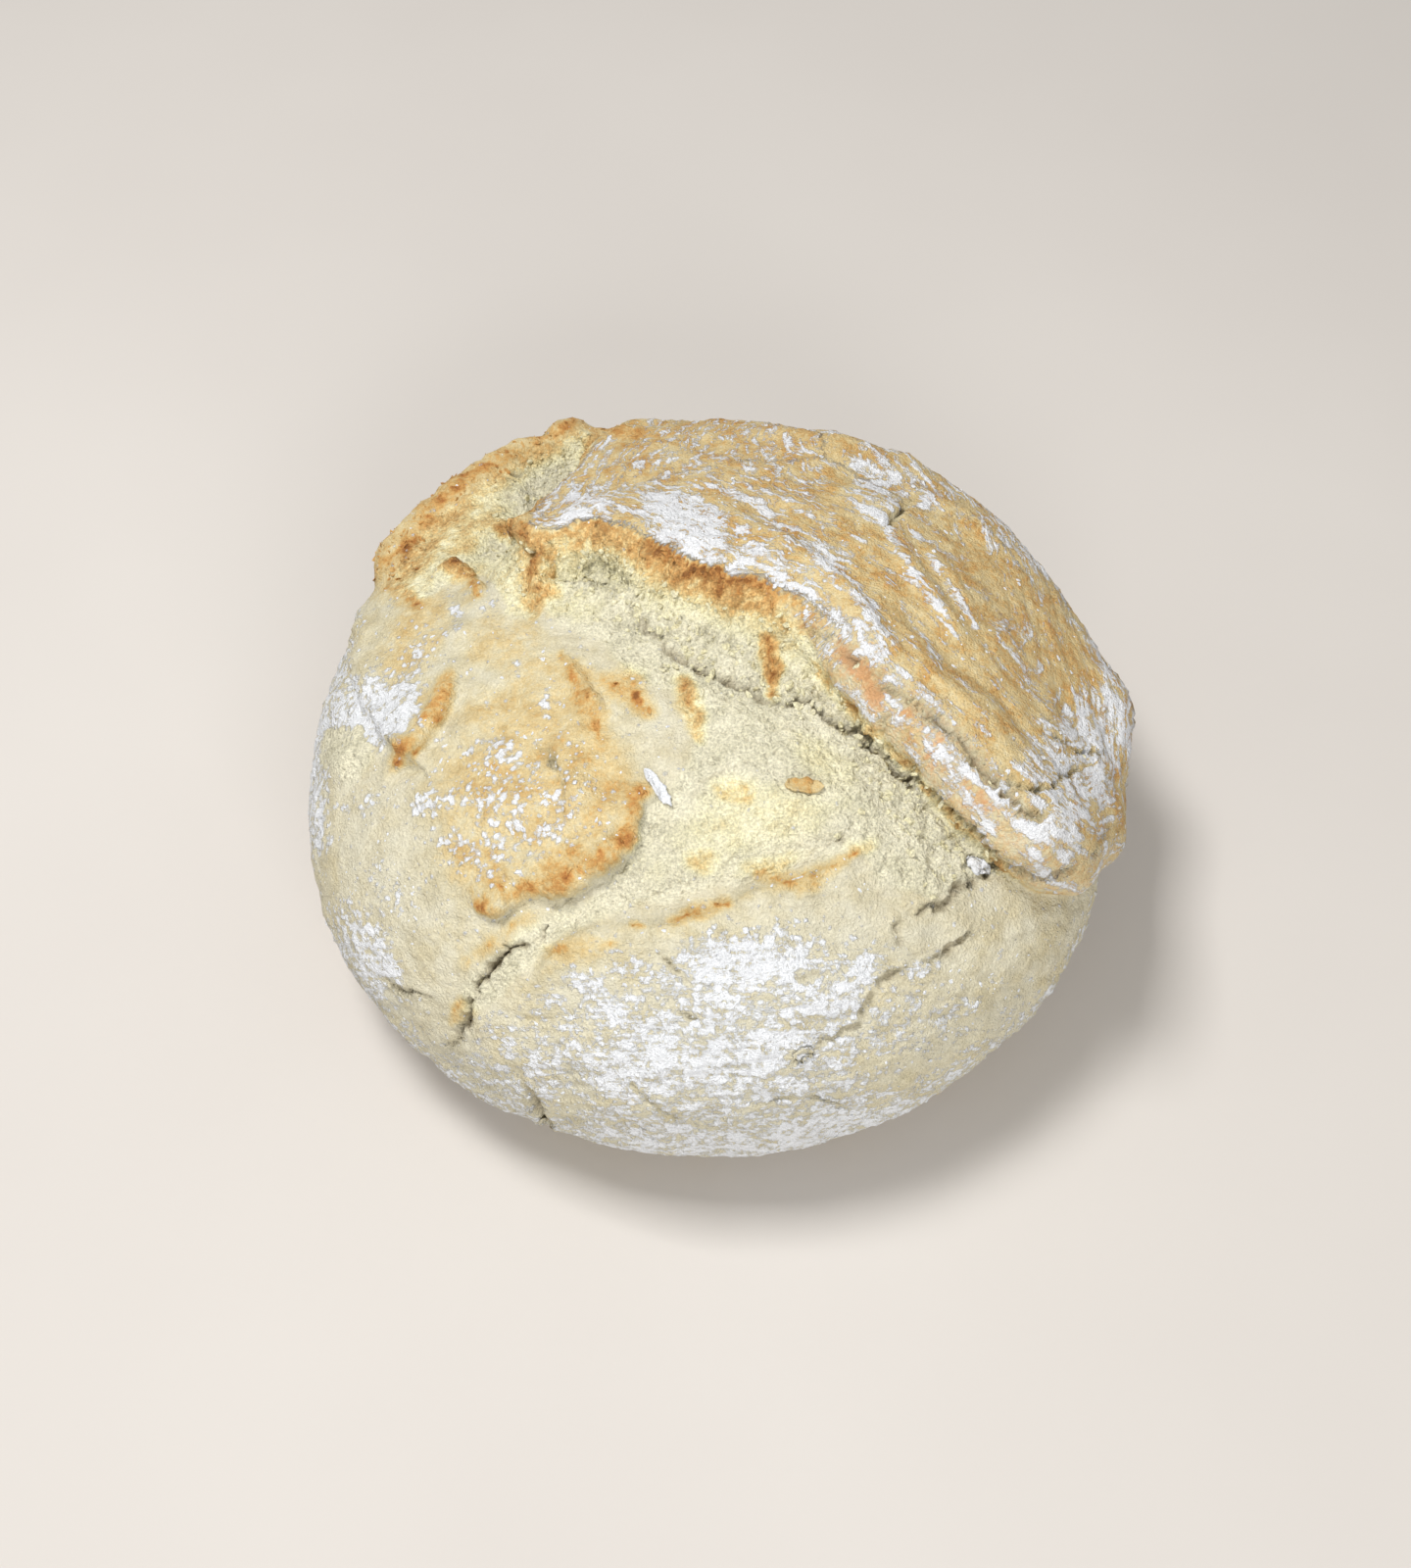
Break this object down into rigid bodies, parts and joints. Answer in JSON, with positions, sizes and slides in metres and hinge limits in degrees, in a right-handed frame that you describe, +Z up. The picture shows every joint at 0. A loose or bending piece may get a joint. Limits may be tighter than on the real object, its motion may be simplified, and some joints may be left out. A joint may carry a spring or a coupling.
{
  "type": "sourdough loaf",
  "caption": "Round crusty sourdough loaf, torn open on top: a lifted flap of crust curls over pale crumb, with flour dusting and browned edges.",
  "frame": {"origin": "on the base, under the middle of the loaf's bounding box", "axes": "+Z up, out of the crown; +X to the right and -Y towards the viewer, as the loaf is seen with its tear running from the back left to the right"},
  "size_m": [0.2037, 0.197, 0.1078],
  "materials": {
    "crust": "matt floured bread crust, from cream to toasted brown"
  },
  "bodies": {
    "root": {"sourdough_loaf": "crust"}
  },
  "joints": []
}
